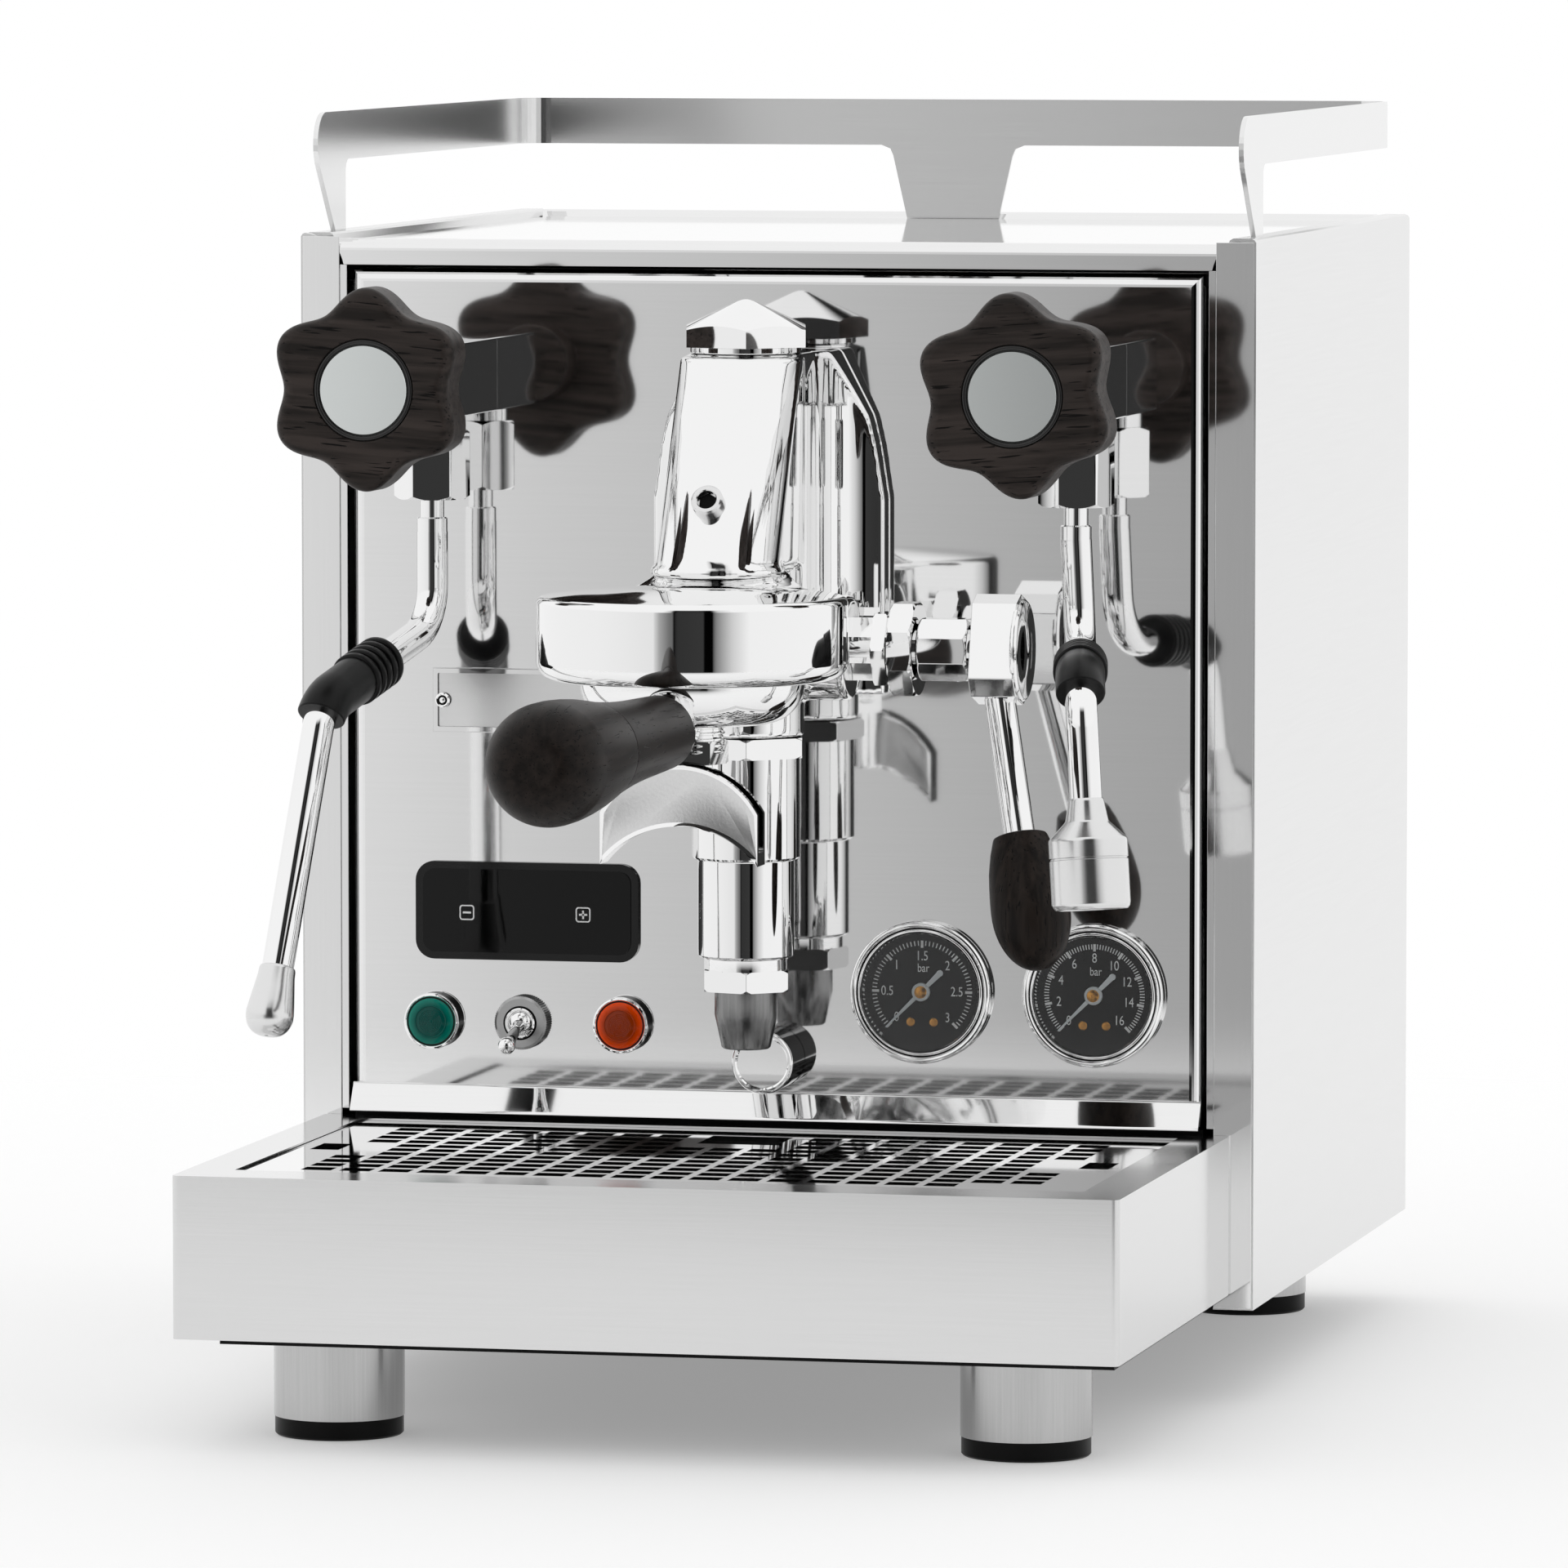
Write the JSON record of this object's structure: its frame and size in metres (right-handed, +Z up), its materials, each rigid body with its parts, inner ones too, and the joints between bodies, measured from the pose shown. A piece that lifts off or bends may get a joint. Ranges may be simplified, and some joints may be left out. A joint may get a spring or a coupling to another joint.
{
  "type": "espresso machine",
  "caption": "Free-standing home espresso machine with a lever-operated group, portafilter, steam and hot water wands, drip tray drawer and cup rail in polished steel.",
  "frame": {"origin": "on the floor, under the middle of the machine's whole width and depth", "axes": "+X to the user's right, +Y from the front panel to the back, +Z up"},
  "size_m": [0.3, 0.5671, 0.3927],
  "materials": {
    "chrome": "polished",
    "brushed": "brushed",
    "polished_steel": "polished",
    "frame_black": "satin",
    "pad_rubber": "matte",
    "black_plastic": "gloss",
    "black_glass": "gloss",
    "green_lens": "gloss",
    "orange_lens": "gloss",
    "dial": "matte",
    "needle": "satin",
    "clear_glass": "clear",
    "wood": "oiled",
    "disc": "satin",
    "copper": "satin",
    "tank_plastic": "gloss",
    "box_plastic": "matte",
    "pump_plastic": "matte"
  },
  "bodies": {
    "case": {"base_frame": "frame_black", "foot_sleeves": "brushed", "foot_pads": "pad_rubber", "front_panel": "polished_steel", "left_side_panel": "brushed", "right_side_panel": "brushed", "rear_panel": "brushed", "top_cover": "polished_steel", "cup_rail": "brushed", "display_frame": "black_plastic", "display_window": "black_glass", "lamp_bezels": "chrome", "green_lens": "green_lens", "orange_lens": "orange_lens", "switch_bushing": "chrome", "gauge_cases": "chrome", "gauge_dials": "dial", "gauge_glasses": "clear_glass", "badge_plate": "brushed", "drain_stub": "chrome", "group_body": "chrome", "group_cap": "chrome", "port_screw": "chrome", "group_gasket": "pad_rubber", "shower_screen": "polished_steel", "infusion_chamber": "chrome", "shaft_nut": "chrome", "valve_blocks": "chrome", "valve_nuts": "chrome", "boiler": "copper", "pump": "pump_plastic", "water_tank": "tank_plastic", "control_box": "box_plastic", "power_inlet": "black_plastic"},
    "cup_tray": {"cup_tray": "polished_steel"},
    "drip_tray": {"drip_tray": "brushed"},
    "drip_grid": {"drip_grid": "polished_steel"},
    "switch": {"switch_lever": "chrome"},
    "boiler_needle": {"boiler_needle": "needle"},
    "pump_needle": {"pump_needle": "needle"},
    "lever": {"cam_shaft": "chrome", "lever_hub": "chrome", "lever_rod": "chrome", "lever_grip": "wood"},
    "portafilter": {"basket": "polished_steel", "portafilter_body": "chrome", "portafilter_handle": "wood", "double_spout": "chrome"},
    "steam_knob": {"steam_stem": "chrome", "steam_knob": "wood", "steam_knob_disc": "disc"},
    "water_knob": {"water_stem": "chrome", "water_knob": "wood", "water_knob_disc": "disc"},
    "steam_wand": {"steam_wand": "chrome", "steam_grip": "pad_rubber", "steam_tip": "chrome"},
    "water_wand": {"water_wand": "chrome", "water_grip": "pad_rubber", "water_nozzle": "chrome"}
  },
  "joints": [
    {"name": "brew_lever", "type": "hinge", "parent": "case", "child": "lever", "pos_m": [0.07, -0.025, 0.2319], "axis": [-1, 0, 0], "range_deg": [0, 95]},
    {"name": "steam_valve", "type": "hinge", "parent": "case", "child": "steam_knob", "pos_m": [-0.0988, -0.0625, 0.3125], "axis": [0, -1, 0], "range_deg": [0, 540]},
    {"name": "water_valve", "type": "hinge", "parent": "case", "child": "water_knob", "pos_m": [0.0988, -0.0625, 0.3125], "axis": [0, -1, 0], "range_deg": [0, 540]},
    {"name": "steam_wand_swivel", "type": "hinge", "parent": "case", "child": "steam_wand", "pos_m": [-0.1005, -0.0225, 0.27], "axis": [0, 0, -1], "range_deg": [-14, 60]},
    {"name": "water_wand_swivel", "type": "hinge", "parent": "case", "child": "water_wand", "pos_m": [0.1005, -0.0225, 0.27], "axis": [0, 0, 1], "range_deg": [-12, 60]},
    {"name": "portafilter_turn", "type": "hinge", "parent": "case", "child": "portafilter", "pos_m": [0, -0.1015, 0.23], "axis": [0, 0, -1], "range_deg": [0, 45]},
    {"name": "power_switch", "type": "hinge", "parent": "case", "child": "switch", "pos_m": [-0.0796, 0.004, 0.1122], "axis": [-1, 0, 0], "range_deg": [0, 34]},
    {"name": "boiler_pressure", "type": "hinge", "parent": "case", "child": "boiler_needle", "pos_m": [0.0467, 0.0065, 0.1244], "axis": [0, 1, 0], "range_deg": [0, 270], "stiffness_Nm_per_rad": 0.0005},
    {"name": "pump_pressure", "type": "hinge", "parent": "case", "child": "pump_needle", "pos_m": [0.1006, 0.0065, 0.1244], "axis": [0, 1, 0], "range_deg": [0, 270], "stiffness_Nm_per_rad": 0.0005},
    {"name": "tray_slide", "type": "slide", "parent": "case", "child": "drip_tray", "axis": [0, -1, 0], "range_m": [0, 0.17]},
    {"name": "grid_lift", "type": "slide", "parent": "drip_tray", "child": "drip_grid", "axis": [0, 0, 1], "range_m": [0, 0.01]},
    {"name": "cup_tray_lift", "type": "slide", "parent": "case", "child": "cup_tray", "axis": [0, 0, 1], "range_m": [0, 0.06]}
  ]
}
